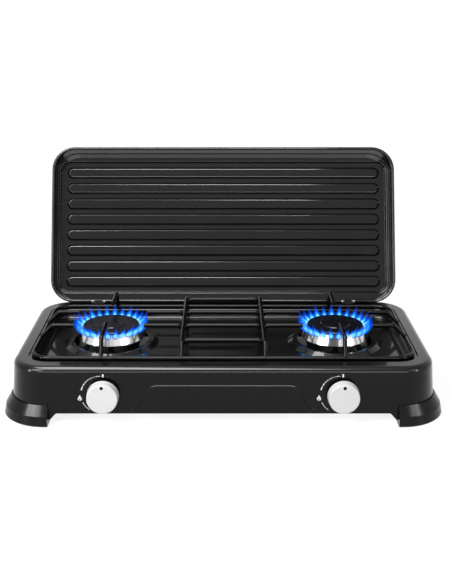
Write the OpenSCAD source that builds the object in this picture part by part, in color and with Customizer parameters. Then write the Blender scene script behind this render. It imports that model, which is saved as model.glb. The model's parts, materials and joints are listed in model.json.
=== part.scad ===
// Two-burner tabletop gas stove with a hinged lid.
// The origin lies on the table under the middle of the body. +Z is up and the front faces -Y.

/* [Body] */
// Width of the body over its top edge
body_w = 549; // [526:1:600]
// Depth of the body over its top edge
body_d = 274; // [264:1:320]
// Height of the rim above the table
body_h = 76; // [72:1:90]
// Corner radius of the body seen from above
body_corner_r = 45; // [36:1:56]
// Rounding of the top edge
edge_r = 8; // [5:0.5:11]
// Outward slant of the skirt, in degrees
skirt_draft = 5; // [2:0.5:7]
// Height of the skirt's lower edge beside the feet
skirt_low = 6.5; // [5:0.5:9]
// How much higher the lower edge is between the feet
skirt_rise = 8.5; // [3:0.5:9.5]
// Thickness of the pressed sheet
sheet_t = 1.2; // [0.8:0.1:1.6]

/* [Well] */
// Width of the rim at the sides of the well
rim_side = 18; // [15:0.5:22]
// Width of the rim in front of and behind the well
rim_front = 22; // [20:0.5:26]
// Corner radius of the well opening
well_corner_r = 28; // [24:1:40]
// Depth of the ledge that carries the pan support
ledge_drop = 2; // [1.4:0.1:4]
// Width of that ledge at the sides
ledge_side = 9.5; // [9:0.5:14]
// Width of that ledge at the front and rear
ledge_front = 13; // [12:0.5:16]
// Depth of the well floor under the rim
well_depth = 16; // [14.5:0.5:19]
// Rounding of the well wall at its foot
well_fillet_r = 5; // [3:0.5:6]
// Rounding of the well wall at its lip
well_lip_r = 3.6; // [3:0.2:4.2]

/* [Front panel] */
// Half length of the raised field's top edge
field_top_x = 87; // [60:1:100]
// Half length of the raised field's lower edge
field_low_x = 118; // [104:1:124]
// Height of the raised field's top edge above the table
field_top_z = 51; // [44:1:56]
// How far the raised field stands out
field_h = 1; // [0.5:0.1:2]

/* [Burners] */
// Distance of each burner from the end of the body
burner_in = 117.5; // [110:0.5:124]
// Radius of the flame ring at its foot
ring_low_r = 46.5; // [45:0.5:49]
// Radius of the flame ring at its top
ring_top_r = 40; // [39:0.5:42]
// Height of the flame ring
ring_h = 14.5; // [12:0.5:17]
// Height of the ring's foot above the well floor
ring_lift = 9.5; // [8:0.5:11]
// Number of flame slots round each ring
port_count = 26; // [20:1:32]
// Width of a flame slot
port_w = 2.4; // [1.5:0.1:3]
// Thickness of the burner cap at its edge
cap_edge_t = 3.2; // [2:0.2:4]
// Radius of the raised middle of the cap
cap_boss_r = 19.5; // [14:0.5:26]
// Radius of the raised collar round a burner, at its foot
collar_low_r = 66; // [63:0.5:70]
// Radius of that collar at its top
collar_top_r = 59; // [57:0.5:61]
// Height of that collar
collar_h = 4.5; // [2:0.5:6]
// Clear gap between the collar and the flame ring
air_gap = 6; // [4:0.5:8]

/* [Pan support] */
// Diameter of the frame wire
frame_wire_d = 6; // [4.8:0.1:6.2]
// Diameter of the finger and strut wire
wire_d = 6; // [4.4:0.1:6.2]
// Height of the pan support's top above the rim
support_rise = 21.5; // [20:0.5:26]
// Distance from the well edge to the frame wire at the sides
frame_in_side = 6; // [5:0.5:7]
// Distance from the well edge to the frame wire at the front and rear
frame_in_front = 9.3; // [8:0.1:10]
// Distance of each strut from the middle
strut_x = 54.5; // [45:0.5:65]
// Distance of the two long cross wires from the burner line
cross_y = 28.2; // [24:0.5:34]
// Distance from the burner axis to the tips of the side fingers
side_tip_r = 48; // [42:0.5:52]
// Distance from the burner axis to the tips of the front and rear fingers
end_tip_r = 44; // [38:0.5:50]
// How far a strut's bend lies inside the frame wire
strut_in = 13.5; // [10:0.5:20]
// How far the bend of a front or rear finger lies inside the frame wire
finger_in = 13.7; // [10:0.1:20]
// How much higher those fingers are than the other wires
finger_rise = 7.5; // [1:0.5:9]
// How far those fingers lie outside the burner line
finger_off = 2; // [0:0.5:5]

/* [Lid] */
// Overlap of the lid on the rim at the sides
lid_lap_side = 7.5; // [7:0.5:12]
// Overlap of the lid on the rim at the front and rear
lid_lap_front = 5.4; // [5:0.1:8]
// Corner radius of the lid
lid_corner_r = 35; // [32:1:38]
// Width of the flange round the lid
lid_flange = 4; // [3.8:0.1:4.4]
// Height of the lip round the flange
lid_lip_h = 3.5; // [3:0.1:4]
// Radius of the bend at the top of the lid wall
lid_fold_r = 1.5; // [1.2:0.1:2]
// Distance from the lid's edge to the ribbed field at the sides
lid_field_side = 7.5; // [7.5:0.5:12]
// Distance from the lid's edge to the ribbed field at the front and rear
lid_field_front = 16.5; // [14.5:0.5:18]
// Corner radius of the ribbed field
lid_field_r = 15; // [14:1:20]
// Thickness of the lid sheet
lid_t = 1; // [0.8:0.1:1.4]
// Number of ribs pressed into the lid
rib_count = 8; // [4:1:8]
// Distance from rib to rib
rib_pitch = 24.5; // [21:0.5:25]
// Width of a rib
rib_w = 18.5; // [14:0.5:19]
// Height of a rib, and depth of the field
rib_h = 3; // [2.6:0.1:3.4]
// Angle between the open and the closed lid, in degrees
lid_open_angle = 112; // [95:1:118]
// Gap between the closed lid and the rim
lid_gap = 0.5; // [0.3:0.1:1]

/* [Hinges] */
// Distance of each hinge from the end of the body
hinge_in = 83.5; // [70:0.5:124]
// Radius of the hinge pin
hinge_pin_r = 1.5; // [1.2:0.1:1.8]
// Length of the eye on the lid
hinge_eye_l = 12; // [8:1:16]
// Thickness of a bracket ear
hinge_ear_t = 2; // [1.5:0.1:2.5]

/* [Taps and knobs] */
// Distance of each tap from the end of the body
knob_in = 121.5; // [115:0.5:126]
// Height of the tap axis above the table
knob_z = 41.5; // [38:0.5:43]
// Diameter of a knob
knob_d = 41; // [36:0.5:43]
// Thickness of a knob from back to front
knob_t = 12.5; // [12:0.5:18]
// How far a knob can be pushed in
push_travel = 3.5; // [2:0.1:4]
// Radius of the tap stem
stem_r = 3; // [2.6:0.1:3.2]
// Radius of the tap plug
plug_r = 6; // [5.6:0.1:6.6]

/* [Gas pipe] */
// Radius of the gas rail
rail_r = 6; // [5:0.1:6.5]
// Height of the rail above the table
rail_z = 20; // [18.5:0.5:21]
// Distance of the supply pipe from the burner line
supply_off = 39; // [38.5:0.5:42]
// Radius of the hose tail
hose_tail_r = 4.5; // [4:0.1:5]
// Free length of the hose tail
hose_tail_l = 24; // [18:1:34]

/* [Feet] */
// Height of a foot at its outer wall
foot_h = 27; // [20:1:32]
// Height of the upright lower band of a foot
foot_band_h = 14; // [10:0.5:17]
// How far a foot stands out from the body's top edge
foot_out = 16; // [13:0.5:20]
// How far the upright band leans outwards to its foot
foot_slant = 2.5; // [0.5:0.5:4]
// Straight length of a foot beyond the corner
foot_leg = 4.5; // [2:0.5:12]

/* [Hidden] */
$fn = 64;

enamel = "#1c1c1e";
wire_black = "#161616";
aluminium = "#d4d6d8";
brass = "#b99a55";
steel = "#8d9094";
plastic_black = "#2b2b2d";
plastic_white = "#f2f2f0";

// Small extra length for cuts that pass right through
eps = 0.5;
// Radial clearance of shafts and plugs
run = 0.05;
// Clearance between a foot and the skirt
foot_gap = 0.4;
// Straight runs reach this far into a bend, are this much thinner, and bends turn this much further
joint_over = 0.16;
joint_slack = 0.01;
joint_turn = 6;
// How far flat plates stop short of a bend, reach over a hollow bend, and stand above its foot
plate_short = 0.4;
plate_reach = 0.8;
plate_lift = 0.04;

// Places along the width
burner_x = body_w / 2 - burner_in;
knob_x = body_w / 2 - knob_in;
hinge_x = body_w / 2 - hinge_in;
supply_x = burner_x + supply_off;

// Heights in the body
ledge_z = body_h - ledge_drop;
floor_z = body_h - well_depth;
well_w = body_w - 2 * rim_side;
well_d = body_d - 2 * rim_front;
floor_w = well_w - 2 * ledge_side;
floor_d = well_d - 2 * ledge_front;
floor_corner_r = well_corner_r - ledge_side;
well_bend_r = well_fillet_r + sheet_t / 2;
well_lip_bend_r = well_lip_r - sheet_t / 2;

// Skirt line: how far the outside lies beyond the top edge at height z
skirt_arc_z = body_h - edge_r;
function skirt_u(z) = edge_r / cos(skirt_draft) - edge_r + (skirt_arc_z - z) * tan(skirt_draft);

// Corner plates inside the skirt that the feet are screwed to
tab_in = 18;
foot_screw_r = 1.75;
foot_screw_head_r = 3.4;
foot_screw_head_h = 2.4;
foot_screw_sink = 3;
foot_screw_in = 7;
foot_screw_top = skirt_low + sheet_t + 4;
foot_inner = 16;
foot_lip = 1.6;
foot_edge = 2;

// Edges of the cut between the feet
relief_front_x = body_w / 2 - body_corner_r - foot_leg - 0.6;
relief_side_y = body_d / 2 - body_corner_r - foot_leg - 0.6;
relief_run = 11;

// Burner heights
ring_z = floor_z + ring_lift;
cap_z = ring_z + ring_h;
collar_hole_r = ring_low_r + air_gap;
ring_bore_r = ring_top_r - 3.5;
port_h = 4;
ring_edge_h = 1;
port_steps = 360 / port_count;
cap_boss_h = 1.2;
cap_r = ring_top_r - 1;
cap_plug_r = ring_bore_r - 4;
cap_plug_h = 3;
cup_wall = 2.5;
cup_top_r = ring_low_r - 4.5;
cup_low_r = cup_top_r - 9;
cup_z = knob_z - 13;
ear_r = collar_low_r + 8;
ear_w = 14;
ear_t = 3;
ear_top = floor_z - sheet_t;
ear_angles = [90, 210, 330];
stud_r = 2;
stud_l = 9;
nut_r = 4;
nut_t = 3.2;
pad_l = 92;
pad_w = 17;
pad_drop = 1.5;
pad_corner_r = 4;

// Mixing tube and injector
venturi_r = 9;
venturi_wall = 1.2;
venturi_mouth_r = 11;
venturi_mouth_l = 10;
boss_wall = 2.5;
cup_boss_l = 18;

// Pan support heights
frame_w = well_w - 2 * frame_in_side;
frame_d = well_d - 2 * frame_in_front;
frame_z = ledge_z + frame_wire_d / 2 + 2 * joint_slack;
wire_z = body_h + support_rise - wire_d / 2;
frame_bend_r = 24;
wire_bend_r = 6;
weld = 1;
// Slanted ends stop a little above the frame wire's middle
end_lift = 1.2;
dip = wire_d - weld;
dip_run = 7;
short_wire_in = 20;

// Lid, described closed and then turned open about the hinge
lid_w = well_w + 2 * lid_lap_side;
lid_d = well_d + 2 * lid_lap_front;
lid_z = body_h + lid_gap;
rib_clear = 1.6;
lid_depth = support_rise + finger_rise - lid_gap + rib_h + rib_clear;
lid_bend_r = 1.5;
lid_lip_r = 1.6;
lid_panel_z = lid_z + lid_depth;
lid_shelf_z = lid_panel_z - rib_h;
lid_field_w = lid_w - 2 * lid_field_side;
lid_field_d = lid_d - 2 * lid_field_front;
lid_step_run = 2.5;
lid_step_r = 1.2;
lid_step_bend = lid_step_r * tan(atan2(rib_h, lid_step_run) / 2);
rib_slope = 3;
rib_edge_r = 2;
rib_steps = 5;
rib_end_in = 11;
rib_skin = 0.6;
rib_l = lid_field_w - 2 * rib_end_in;

// Hinges
hinge_back = 1.2;
hinge_y = lid_d / 2 + hinge_back;
hinge_z = body_h + 1;
hinge_eye_r = hinge_pin_r + 1.2;
hinge_side_gap = 0.4;
hinge_ear_x = hinge_eye_l / 2 + hinge_side_gap;
hinge_ear_r = hinge_pin_r + 1.9;
hinge_pin_half = hinge_ear_x + hinge_ear_t + 0.6;
pin_head_r = hinge_pin_r + 0.6;
pin_head_l = 1;
hinge_cut_w = 2 * (hinge_pin_half + pin_head_l);
hinge_cut_d = 2 * hinge_ear_r + 1.2;
hinge_notch = hinge_ear_r - hinge_back + 0.8;
hinge_plate_t = 1.5;
hinge_plate_w = hinge_cut_w + 18;
hinge_plate_front = well_d / 2 + sheet_t + run;
hinge_plate_rear = hinge_y + 6.5;
hinge_rivet_x = hinge_cut_w / 2 + 4.5;
hinge_rivet_r = 1.5;
hinge_rivet_head_r = 2.6;
hinge_rivet_head_h = 0.5;
hinge_rivet_y = lid_d / 2 + hinge_rivet_head_r + 0.6;
lug_t = 1;
lug_l = 6.4;
lug_front = lid_d / 2 - lid_flange + lid_t / 2;
lug_low = lid_z + lid_t / 2 + lid_bend_r + 2 * joint_slack;

// Taps: places along the tap axis, measured backwards from the front edge of the body
tap_front = -body_d / 2 + 5;
cover_t = 2;
tap_r = plug_r + 4;
tap_l = 34;
tap_rear = tap_front + tap_l;
plug_front = tap_front + 10;
plug_rear = tap_rear - 6.3;
plug_bore_end = tap_rear - 6;
socket_l = 12;
tang_w = 4;
tang_rear = plug_front + 6;
tang_front = plug_front - 4;
collar_t = 2.5;
collar_gap = 0.3;
collar_front = tap_front + collar_gap;
collar_rear = collar_front + collar_t;
collar_r = plug_r - 0.4;
spring_wall = 1.1;
spring_out_r = plug_r - 0.7;
port_r = 1.75;
rail_y = plug_rear - 2.7;
injector_thread_r = 3;
injector_thread_l = 4;
injector_hex_r = 5;
injector_hex_l = 5;
injector_nose_r = 2.5;
injector_nose_l = 4;
orifice_r = 0.5;
venturi_front = tap_rear + injector_hex_l + injector_nose_l + 4;
panel_hole_r = stem_r + 2;

// Knobs stay clear of the slanted panel when they are pushed
knob_clear = 0.8;
knob_back = -body_d / 2 - skirt_u(knob_z - knob_d / 2) - push_travel - knob_clear;
knob_front = knob_back - knob_t;
knob_edge_r = 1.2;
knob_wall = 2;
knob_taper = 0.8;
knob_hub_r = stem_r + 2.5;
knob_face_t = 3;
stem_front = knob_front + knob_face_t + 0.5;
stem_flat = 0.8;
stem_flat_l = 8;

// Gas pipe
rail_bore_r = rail_r - 1.5;
rail_bend_r = 20;
rail_left = -knob_x - 16;
saddle_r = rail_r + 3;
saddle_l = 16;
pipe_rear = body_d / 2 - 9;
skirt_rear_y = body_d / 2 + skirt_u(rail_z);
fitting_r = rail_r + 2.5;
neck_r = rail_r + 0.5;
nozzle_bore_r = 2.5;
inlet_nut_r = 11;
inlet_nut_t = 5;
inlet_seat = 2;
end_plug_l = 8;
bracket_x = 100;
bracket_w = 26;
bracket_t = 2;
bracket_low = skirt_low + skirt_rise + 2;
bracket_high = bracket_low + 26;
bracket_arm_t = 3;

// A ring or profile swept round a rectangle with round corners; the profile's x points outwards
module around(w, d, r) {
    for (i = [0:3]) {
        across = i % 2 == 0 ? w : d;
        run_l = (i % 2 == 0 ? d : w) - 2 * r;
        rotate(90 * i) {
            translate([across / 2, 0, 0]) rotate([90, 0, 0]) linear_extrude(run_l, center = true) children();
            translate([across / 2 - r, run_l / 2, 0]) rotate_extrude(angle = 90) translate([r, 0]) children();
        }
    }
}

// A rectangle with round corners
module round_rect(w, d, r) {
    square([w - 2 * r, d], center = true);
    square([w, d - 2 * r], center = true);
    for (x = [-1, 1], y = [-1, 1]) translate([x * (w / 2 - r), y * (d / 2 - r)]) circle(r);
}

// A slice of a ring between two angles that are less than 180 degrees apart
module arc_band(r_out, r_in, from, to) {
    far = 3 * r_out;
    mid = (from + to) / 2;
    intersection() {
        difference() {
            circle(r_out);
            circle(r_in);
        }
        polygon([[0, 0], far * [cos(from), sin(from)], far * [cos(mid), sin(mid)], far * [cos(to), sin(to)]]);
    }
}

// An outline that climbs in an S from (x0, z0) to (x1, z1)
s_steps = 8;
function s_curve(x0, z0, x1, z1) =
    [for (i = [0:s_steps]) [x0 + (x1 - x0) * i / s_steps, z0 + (z1 - z0) * (1 - cos(180 * i / s_steps)) / 2]];

// Round wire along straight runs, with an elbow of the given radius at each inner point
function unit(v) = v / norm(v);
function turn(a, b) = acos(max(-1, min(1, a * b)));
module wire(points, d, bend_r) {
    last = len(points) - 1;
    dirs = [for (i = [0:last - 1]) unit(points[i + 1] - points[i])];
    trims = [for (i = [0:last]) i == 0 || i == last ? 0 : bend_r * tan(turn(dirs[i - 1], dirs[i]) / 2)];
    for (i = [0:last - 1]) {
        start = trims[i] - (i == 0 ? 0 : joint_over);
        stop = trims[i + 1] - (i == last - 1 ? 0 : joint_over);
        rod(points[i] + start * dirs[i], points[i + 1] - stop * dirs[i], d);
    }
    for (i = [1:last - 1]) elbow(points[i], dirs[i - 1], dirs[i], d + 2 * joint_slack, bend_r);
}

// Folded sheet along straight runs, drawn as a 2D outline along its middle line
module sheet(points, t, bends) {
    last = len(points) - 1;
    dirs = [for (i = [0:last - 1]) unit(points[i + 1] - points[i])];
    trims = [for (i = [0:last]) i == 0 || i == last ? 0 : bends[i - 1] * tan(turn(dirs[i - 1], dirs[i]) / 2)];
    for (i = [0:last - 1]) {
        from = points[i] + (trims[i] - (i == 0 ? 0 : joint_over)) * dirs[i];
        to = points[i + 1] - (trims[i + 1] - (i == last - 1 ? 0 : joint_over)) * dirs[i];
        translate(from) rotate(atan2(dirs[i][1], dirs[i][0]))
            translate([0, -t / 2 + joint_slack]) square([norm(to - from), t - 2 * joint_slack]);
    }
    for (i = [1:last - 1]) {
        bend_r = bends[i - 1];
        half = turn(dirs[i - 1], dirs[i]) / 2;
        centre = points[i] + unit(dirs[i] - dirs[i - 1]) * bend_r / cos(half);
        mid = atan2(points[i][1] - centre[1], points[i][0] - centre[0]);
        reach = half + joint_turn;
        translate(centre) arc_band(bend_r + t / 2, bend_r - t / 2, mid - reach, mid + reach);
    }
}

module rod(from, to, d) {
    z = unit(to - from);
    x = unit(cross(z, abs(z[0]) < 0.9 ? [1, 0, 0] : [0, 1, 0]));
    y = cross(z, x);
    multmatrix([
        [x[0], y[0], z[0], from[0]],
        [x[1], y[1], z[1], from[1]],
        [x[2], y[2], z[2], from[2]],
        [0, 0, 0, 1]
    ]) cylinder(h = norm(to - from), d = d);
}

module elbow(point, a, b, d, bend_r) {
    angle = turn(a, b);
    centre = point + unit(b - a) * bend_r / cos(angle / 2);
    x = unit(point - a * bend_r * tan(angle / 2) - centre);
    z = unit(cross(a, b));
    y = cross(z, x);
    multmatrix([
        [x[0], y[0], z[0], centre[0]],
        [x[1], y[1], z[1], centre[1]],
        [x[2], y[2], z[2], centre[2]],
        [0, 0, 0, 1]
    ]) rotate_extrude(angle = angle) translate([bend_r, 0]) circle(d = d);
}

// A cylinder along Y between two places
module along_y(from, to, r, r2 = undef) {
    translate([0, from, 0]) rotate([-90, 0, 0]) cylinder(h = to - from, r1 = r, r2 = is_undef(r2) ? r : r2);
}

// Half the outline of a pressed rib, from its middle outwards; it bulges down from y = 0
module rib_half(width, height) {
    over = 0.8;
    lean = atan2(height, rib_slope);
    toe = width / 2 - rib_slope - rib_edge_r * tan(lean / 2);
    edge = [
        for (i = [0:rib_steps]) let (a = lean * i / rib_steps)
        [toe + rib_edge_r * sin(a), rib_edge_r * (1 - cos(a)) - height]
    ];
    polygon(concat([[0, over], [0, -height]], edge, [[width / 2, 0], [width / 2, over]]));
}

// A flat rib with round ends, sloping sides and rounded edges
module rib(length, width, height) {
    rotate([90, 0, 90]) linear_extrude(length - width, center = true) {
        rib_half(width, height);
        mirror([1, 0]) rib_half(width, height);
    }
    for (s = [-1, 1]) translate([s * (length - width) / 2, 0, 0]) rotate(-90 * s)
        rotate_extrude(angle = 180) rib_half(width, height);
}

// Outline of the body's sheet at the skirt
module skirt_profile() {
    bend = edge_r - sheet_t / 2;
    lean = 45 + skirt_draft / 2;
    corner = [-edge_r, skirt_arc_z] + bend / cos(45 - skirt_draft / 2) * [cos(lean), sin(lean)];
    intersection() {
        sheet([
            [-edge_r - 3, body_h - sheet_t / 2],
            corner,
            corner + body_h * [sin(skirt_draft), -cos(skirt_draft)]
        ], sheet_t, [bend]);
        translate([-body_corner_r + eps, skirt_low]) square([2 * body_corner_r, body_h]);
    }
}

// Outline of the sheet where the ledge turns down into the well
module well_wall_profile() {
    half = sheet_t / 2;
    over = 1.5;
    sheet([
        [half + well_lip_bend_r + over, ledge_z - half], [half, ledge_z - half],
        [half, floor_z - half], [half - well_bend_r - over, floor_z - half]
    ], sheet_t, [well_lip_bend_r, well_bend_r]);
}

// Plates of the rim, the ledge and the floor
module plate(z) {
    translate([0, 0, z - sheet_t]) linear_extrude(sheet_t) children();
}

module rim_plate() {
    rim_in = edge_r + plate_short;
    plate(body_h) difference() {
        round_rect(body_w - 2 * rim_in, body_d - 2 * rim_in, body_corner_r - rim_in);
        round_rect(well_w, well_d, well_corner_r);
    }
}

module ledge_step() {
    lip = sheet_t / 2 + well_lip_bend_r + plate_short;
    translate([0, 0, ledge_z - sheet_t]) linear_extrude(ledge_drop + sheet_t) difference() {
        round_rect(well_w + 2 * sheet_t, well_d + 2 * sheet_t, well_corner_r + sheet_t);
        round_rect(well_w, well_d, well_corner_r);
    }
    plate(ledge_z) difference() {
        round_rect(well_w, well_d, well_corner_r);
        round_rect(floor_w + 2 * lip, floor_d + 2 * lip, floor_corner_r + lip);
    }
}

module floor_plate() {
    inner = well_bend_r - sheet_t / 2 - plate_reach;
    under = 2 * sheet_t;
    difference() {
        union() {
            plate(floor_z + plate_lift)
                round_rect(floor_w - 2 * inner, floor_d - 2 * inner, floor_corner_r - inner);
            floor_pads(pad_l + under, pad_w + under, floor_z - pad_drop - sheet_t, pad_drop + sheet_t / 2);
        }
        floor_pads(pad_l, pad_w, floor_z - pad_drop, pad_drop + eps);
        for (s = [-1, 1]) translate([s * burner_x, 0, floor_z - 2 * sheet_t])
            cylinder(h = 3 * sheet_t, r = collar_low_r - eps);
    }
    for (s = [-1, 1]) translate([s * burner_x, 0, 0]) burner_collar();
}

// Two shallow pressed pads in the floor between the burners
module floor_pads(l, w, z, h) {
    for (s = [-1, 1]) translate([0, s * cross_y, z]) linear_extrude(h) round_rect(l, w, pad_corner_r);
}

module burner_collar() {
    rotate_extrude() polygon([
        [collar_low_r - 2 * eps, floor_z - sheet_t],
        [collar_low_r, floor_z - sheet_t],
        [collar_low_r, floor_z],
        [collar_top_r, floor_z + collar_h],
        [collar_hole_r, floor_z + collar_h],
        [collar_hole_r, floor_z + collar_h - sheet_t],
        [collar_top_r - sheet_t, floor_z + collar_h - sheet_t]
    ]);
}

// Raised field in the middle of the front panel
module front_field() {
    low = skirt_low + skirt_rise + 4;
    rise = (field_top_z - low) / cos(skirt_draft);
    right = s_curve(field_low_x, 0, field_top_x, rise);
    left = [for (i = [s_steps:-1:0]) [-right[i][0], right[i][1]]];
    translate([0, -body_d / 2 - skirt_u(low), low]) rotate([90 - skirt_draft, 0, 0])
        translate([0, 0, -sheet_t / 2]) linear_extrude(field_h + sheet_t / 2) polygon(concat(right, left));
}

// Cut that lifts the skirt's lower edge between the feet
module skirt_relief(half_l) {
    top = skirt_low + skirt_rise;
    left = s_curve(-half_l, skirt_low, -half_l + relief_run, top);
    right = s_curve(half_l - relief_run, top, half_l, skirt_low);
    rotate([90, 0, 0]) linear_extrude(2 * body_w, center = true)
        polygon(concat([[-half_l, -1]], left, right, [[half_l, -1]]));
}

// Plates across the inside of the corners, above the feet
module corner_tabs() {
    for (i = [0:3]) rotate(90 * i) {
        x = (i % 2 == 0 ? body_w : body_d) / 2 - body_corner_r;
        y = (i % 2 == 0 ? body_d : body_w) / 2 - body_corner_r;
        tab_l = tab_in + skirt_u(skirt_low) - sheet_t / 2;
        translate([x, y, skirt_low]) rotate_extrude(angle = 90)
            translate([body_corner_r - tab_in, 0]) square([tab_l, sheet_t]);
    }
}

module at_foot_screws() {
    a = body_corner_r - foot_screw_in;
    for (x = [-1, 1], y = [-1, 1])
        translate([
            x * (body_w / 2 - body_corner_r + a * cos(45)),
            y * (body_d / 2 - body_corner_r + a * sin(45)),
            0
        ]) children();
}

module hob_body() {
    color(enamel) difference() {
        union() {
            around(body_w, body_d, body_corner_r) skirt_profile();
            rim_plate();
            ledge_step();
            around(floor_w, floor_d, floor_corner_r) well_wall_profile();
            floor_plate();
            front_field();
            corner_tabs();
        }
        skirt_relief(relief_front_x);
        rotate(90) skirt_relief(relief_side_y);
        for (s = [-1, 1]) {
            translate([s * knob_x, 0, knob_z]) along_y(-body_d, -body_d / 2 + 3, panel_hole_r);
            translate([s * hinge_x, hinge_y, body_h])
                cube([hinge_cut_w, hinge_cut_d, 4 * sheet_t], center = true);
            for (e = [-1, 1])
                translate([s * hinge_x + e * hinge_rivet_x, hinge_rivet_y, body_h - 2 * sheet_t])
                    cylinder(h = 3 * sheet_t, r = hinge_rivet_r + run);
        }
        translate([supply_x, 0, rail_z]) along_y(body_d / 2 - 3, body_d, neck_r + run);
        at_foot_screws() cylinder(h = foot_screw_top, r = foot_screw_r + run);
    }
}

// The lid is drawn closed; this turns it open
module lid_open() {
    translate([0, hinge_y, hinge_z]) rotate([-lid_open_angle, 0, 0])
        translate([0, -hinge_y, -hinge_z]) children();
}

// Outline of the lid's sheet from the lip over the flange and the wall to the shelf
module lid_profile() {
    low = lid_z + lid_t / 2;
    high = lid_shelf_z + lid_t / 2;
    edge_u = -lid_t / 2;
    sheet([
        [edge_u, low + lid_lip_h], [edge_u, low], [-lid_flange, low],
        [-lid_flange, high], [-lid_flange - lid_fold_r - 1.2, high]
    ], lid_t, [lid_lip_r, lid_bend_r, lid_fold_r]);
}

// Outline of the step from the shelf up to the ribbed field
module lid_step_profile() {
    low = lid_shelf_z + lid_t / 2;
    high = lid_panel_z + lid_t / 2;
    sheet([
        [lid_step_bend + 1, low], [0, low],
        [-lid_step_run, high], [-lid_step_run - lid_step_bend - 1, high]
    ], lid_t, [lid_step_r, lid_step_r]);
}

module lid_ribs(length, width, z) {
    for (i = [0:rib_count - 1])
        translate([0, (i - (rib_count - 1) / 2) * rib_pitch, z]) rib(length, width, rib_h);
}

module lid_shell() {
    shelf_in = lid_flange + lid_fold_r + plate_short;
    step_in = lid_step_bend + plate_short;
    back = lid_step_run + step_in;
    color(enamel) lid_open() difference() {
        union() {
            around(lid_w, lid_d, lid_corner_r) lid_profile();
            translate([0, 0, lid_shelf_z]) linear_extrude(lid_t) difference() {
                round_rect(lid_w - 2 * shelf_in, lid_d - 2 * shelf_in, lid_corner_r - shelf_in);
                round_rect(lid_field_w + 2 * step_in, lid_field_d + 2 * step_in, lid_field_r + step_in);
            }
            around(lid_field_w, lid_field_d, lid_field_r) lid_step_profile();
            translate([0, 0, lid_panel_z]) linear_extrude(lid_t)
                round_rect(lid_field_w - 2 * back, lid_field_d - 2 * back, lid_field_r - back);
            lid_ribs(rib_l, rib_w, lid_panel_z);
        }
        lid_ribs(rib_l - 2 * rib_skin, rib_w - 2 * rib_skin, lid_panel_z + lid_t);
        for (s = [-1, 1]) translate([s * hinge_x, lid_d / 2, lid_z])
            cube([hinge_cut_w, 2 * hinge_notch, 4 * lid_lip_h], center = true);
    }
}

module lid_lug(s) {
    color(enamel) lid_open() translate([s * hinge_x, 0, 0]) difference() {
        union() {
            translate([-hinge_eye_l / 2, lug_front, lug_low]) cube([hinge_eye_l, lug_t, lug_l]);
            translate([-hinge_eye_l / 2, lug_front, lug_low]) cube([hinge_eye_l, hinge_y - lug_front, lug_t]);
            translate([0, hinge_y, hinge_z]) rotate([0, 90, 0])
                cylinder(h = hinge_eye_l, r = hinge_eye_r, center = true);
        }
        translate([0, hinge_y, hinge_z]) rotate([0, 90, 0])
            cylinder(h = hinge_eye_l + 2 * eps, r = hinge_pin_r + run, center = true);
    }
}

module hinge_bracket(s) {
    top = body_h - sheet_t;
    color(enamel) translate([s * hinge_x, 0, 0]) difference() {
        union() {
            translate([-hinge_plate_w / 2, hinge_plate_front, top - hinge_plate_t])
                cube([hinge_plate_w, hinge_plate_rear - hinge_plate_front, hinge_plate_t]);
            for (e = [-1, 1]) translate([e * (hinge_ear_x + hinge_ear_t / 2), hinge_y, 0]) {
                translate([-hinge_ear_t / 2, -hinge_ear_r, top - hinge_plate_t])
                    cube([hinge_ear_t, 2 * hinge_ear_r, hinge_z - top + hinge_plate_t]);
                translate([0, 0, hinge_z]) rotate([0, 90, 0])
                    cylinder(h = hinge_ear_t, r = hinge_ear_r, center = true);
            }
        }
        translate([0, hinge_y, hinge_z]) rotate([0, 90, 0])
            cylinder(h = hinge_plate_w, r = hinge_pin_r + run, center = true);
        translate([0, hinge_y, top])
            cube([2 * hinge_ear_x, 2 * (hinge_eye_r + hinge_side_gap), 4 * hinge_plate_t], center = true);
        for (e = [-1, 1]) translate([e * hinge_rivet_x, hinge_rivet_y, top - hinge_plate_t - eps])
            cylinder(h = hinge_plate_t + 2 * eps, r = hinge_rivet_r + run);
    }
}

module hinge_pin(s) {
    color(enamel) translate([s * hinge_x, hinge_y, hinge_z]) rotate([0, 90 * s, 0]) {
        translate([0, 0, -hinge_pin_half]) cylinder(h = 2 * hinge_pin_half, r = hinge_pin_r);
        translate([0, 0, hinge_pin_half - pin_head_l / 2]) cylinder(h = pin_head_l, r = pin_head_r);
    }
}

module hinge_rivets() {
    low = body_h - sheet_t - hinge_plate_t;
    head_h = hinge_rivet_head_h;
    color(enamel) for (s = [-1, 1], e = [-1, 1])
    translate([s * hinge_x + e * hinge_rivet_x, hinge_rivet_y, 0]) {
        translate([0, 0, body_h]) cylinder(h = head_h, r1 = hinge_rivet_head_r, r2 = hinge_rivet_r);
        translate([0, 0, low]) cylinder(h = body_h - low + eps, r = hinge_rivet_r);
        translate([0, 0, low - head_h]) cylinder(h = head_h, r = hinge_rivet_head_r);
    }
}

// A point on the frame wire where a slanted end stops
function frame_top() = frame_z + end_lift;

module strut(s) {
    x = s * strut_x;
    y = frame_d / 2;
    wire([
        [x, -y, frame_top()], [x, -y + strut_in, wire_z], [x, y - strut_in, wire_z], [x, y, frame_top()]
    ], wire_d, wire_bend_r);
}

module long_cross_wire(y) {
    tip = burner_x - side_tip_r;
    low = wire_z - dip;
    right = [
        [strut_x - dip_run, y, wire_z], [strut_x, y, low],
        [strut_x + dip_run, y, wire_z], [tip, y, wire_z]
    ];
    left = [for (i = [3:-1:0]) [-right[i][0], right[i][1], right[i][2]]];
    wire(concat(left, right), wire_d, 2 * wire_d / 3);
}

module short_cross_wire(y) {
    low = wire_z - dip;
    wire([
        [-strut_x, y, low], [-strut_x + dip_run, y, wire_z], [strut_x - dip_run, y, wire_z], [strut_x, y, low]
    ], wire_d, 2 * wire_d / 3);
}

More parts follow.
